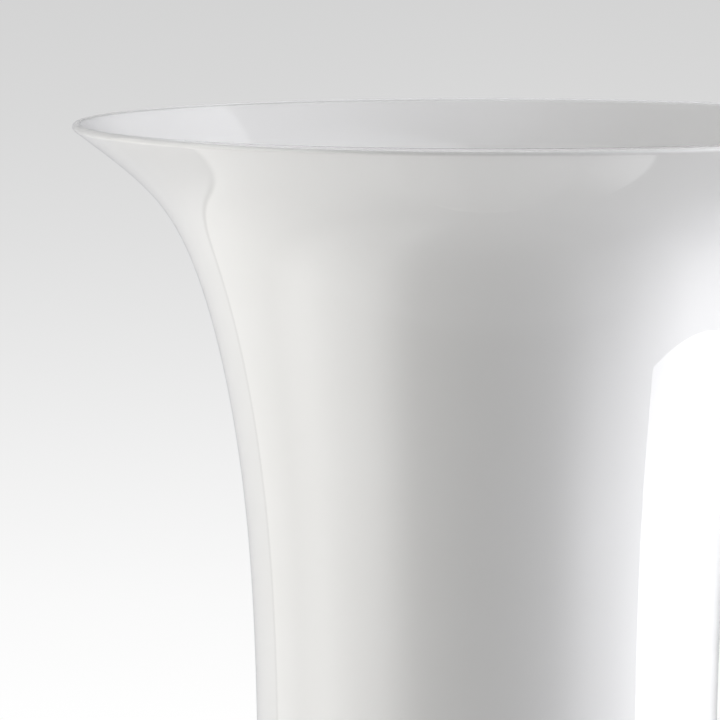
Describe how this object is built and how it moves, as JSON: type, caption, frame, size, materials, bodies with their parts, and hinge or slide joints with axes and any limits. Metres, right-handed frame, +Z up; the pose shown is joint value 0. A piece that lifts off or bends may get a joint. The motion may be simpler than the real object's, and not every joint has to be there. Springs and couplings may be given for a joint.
{
  "type": "trumpet vase",
  "caption": "Tall trumpet-shaped flower vase of glossy white cased glass, with a wide flared mouth, a rounded clear lip, a slim waist and a gently spread foot.",
  "frame": {"origin": "on the vase's axis, in the plane of the flat ring that it stands on", "axes": "+Z up the axis towards the mouth; X and Y are any level pair, because the vase is a body of revolution"},
  "size_m": [0.2599, 0.26, 0.52],
  "materials": {
    "clear_glass": "clear, fire-polished",
    "opal_glass": "opaque milky white, glossy"
  },
  "bodies": {
    "root": {"clear_casing": "clear_glass", "opal_core": "opal_glass", "clear_lining": "clear_glass"}
  },
  "joints": []
}
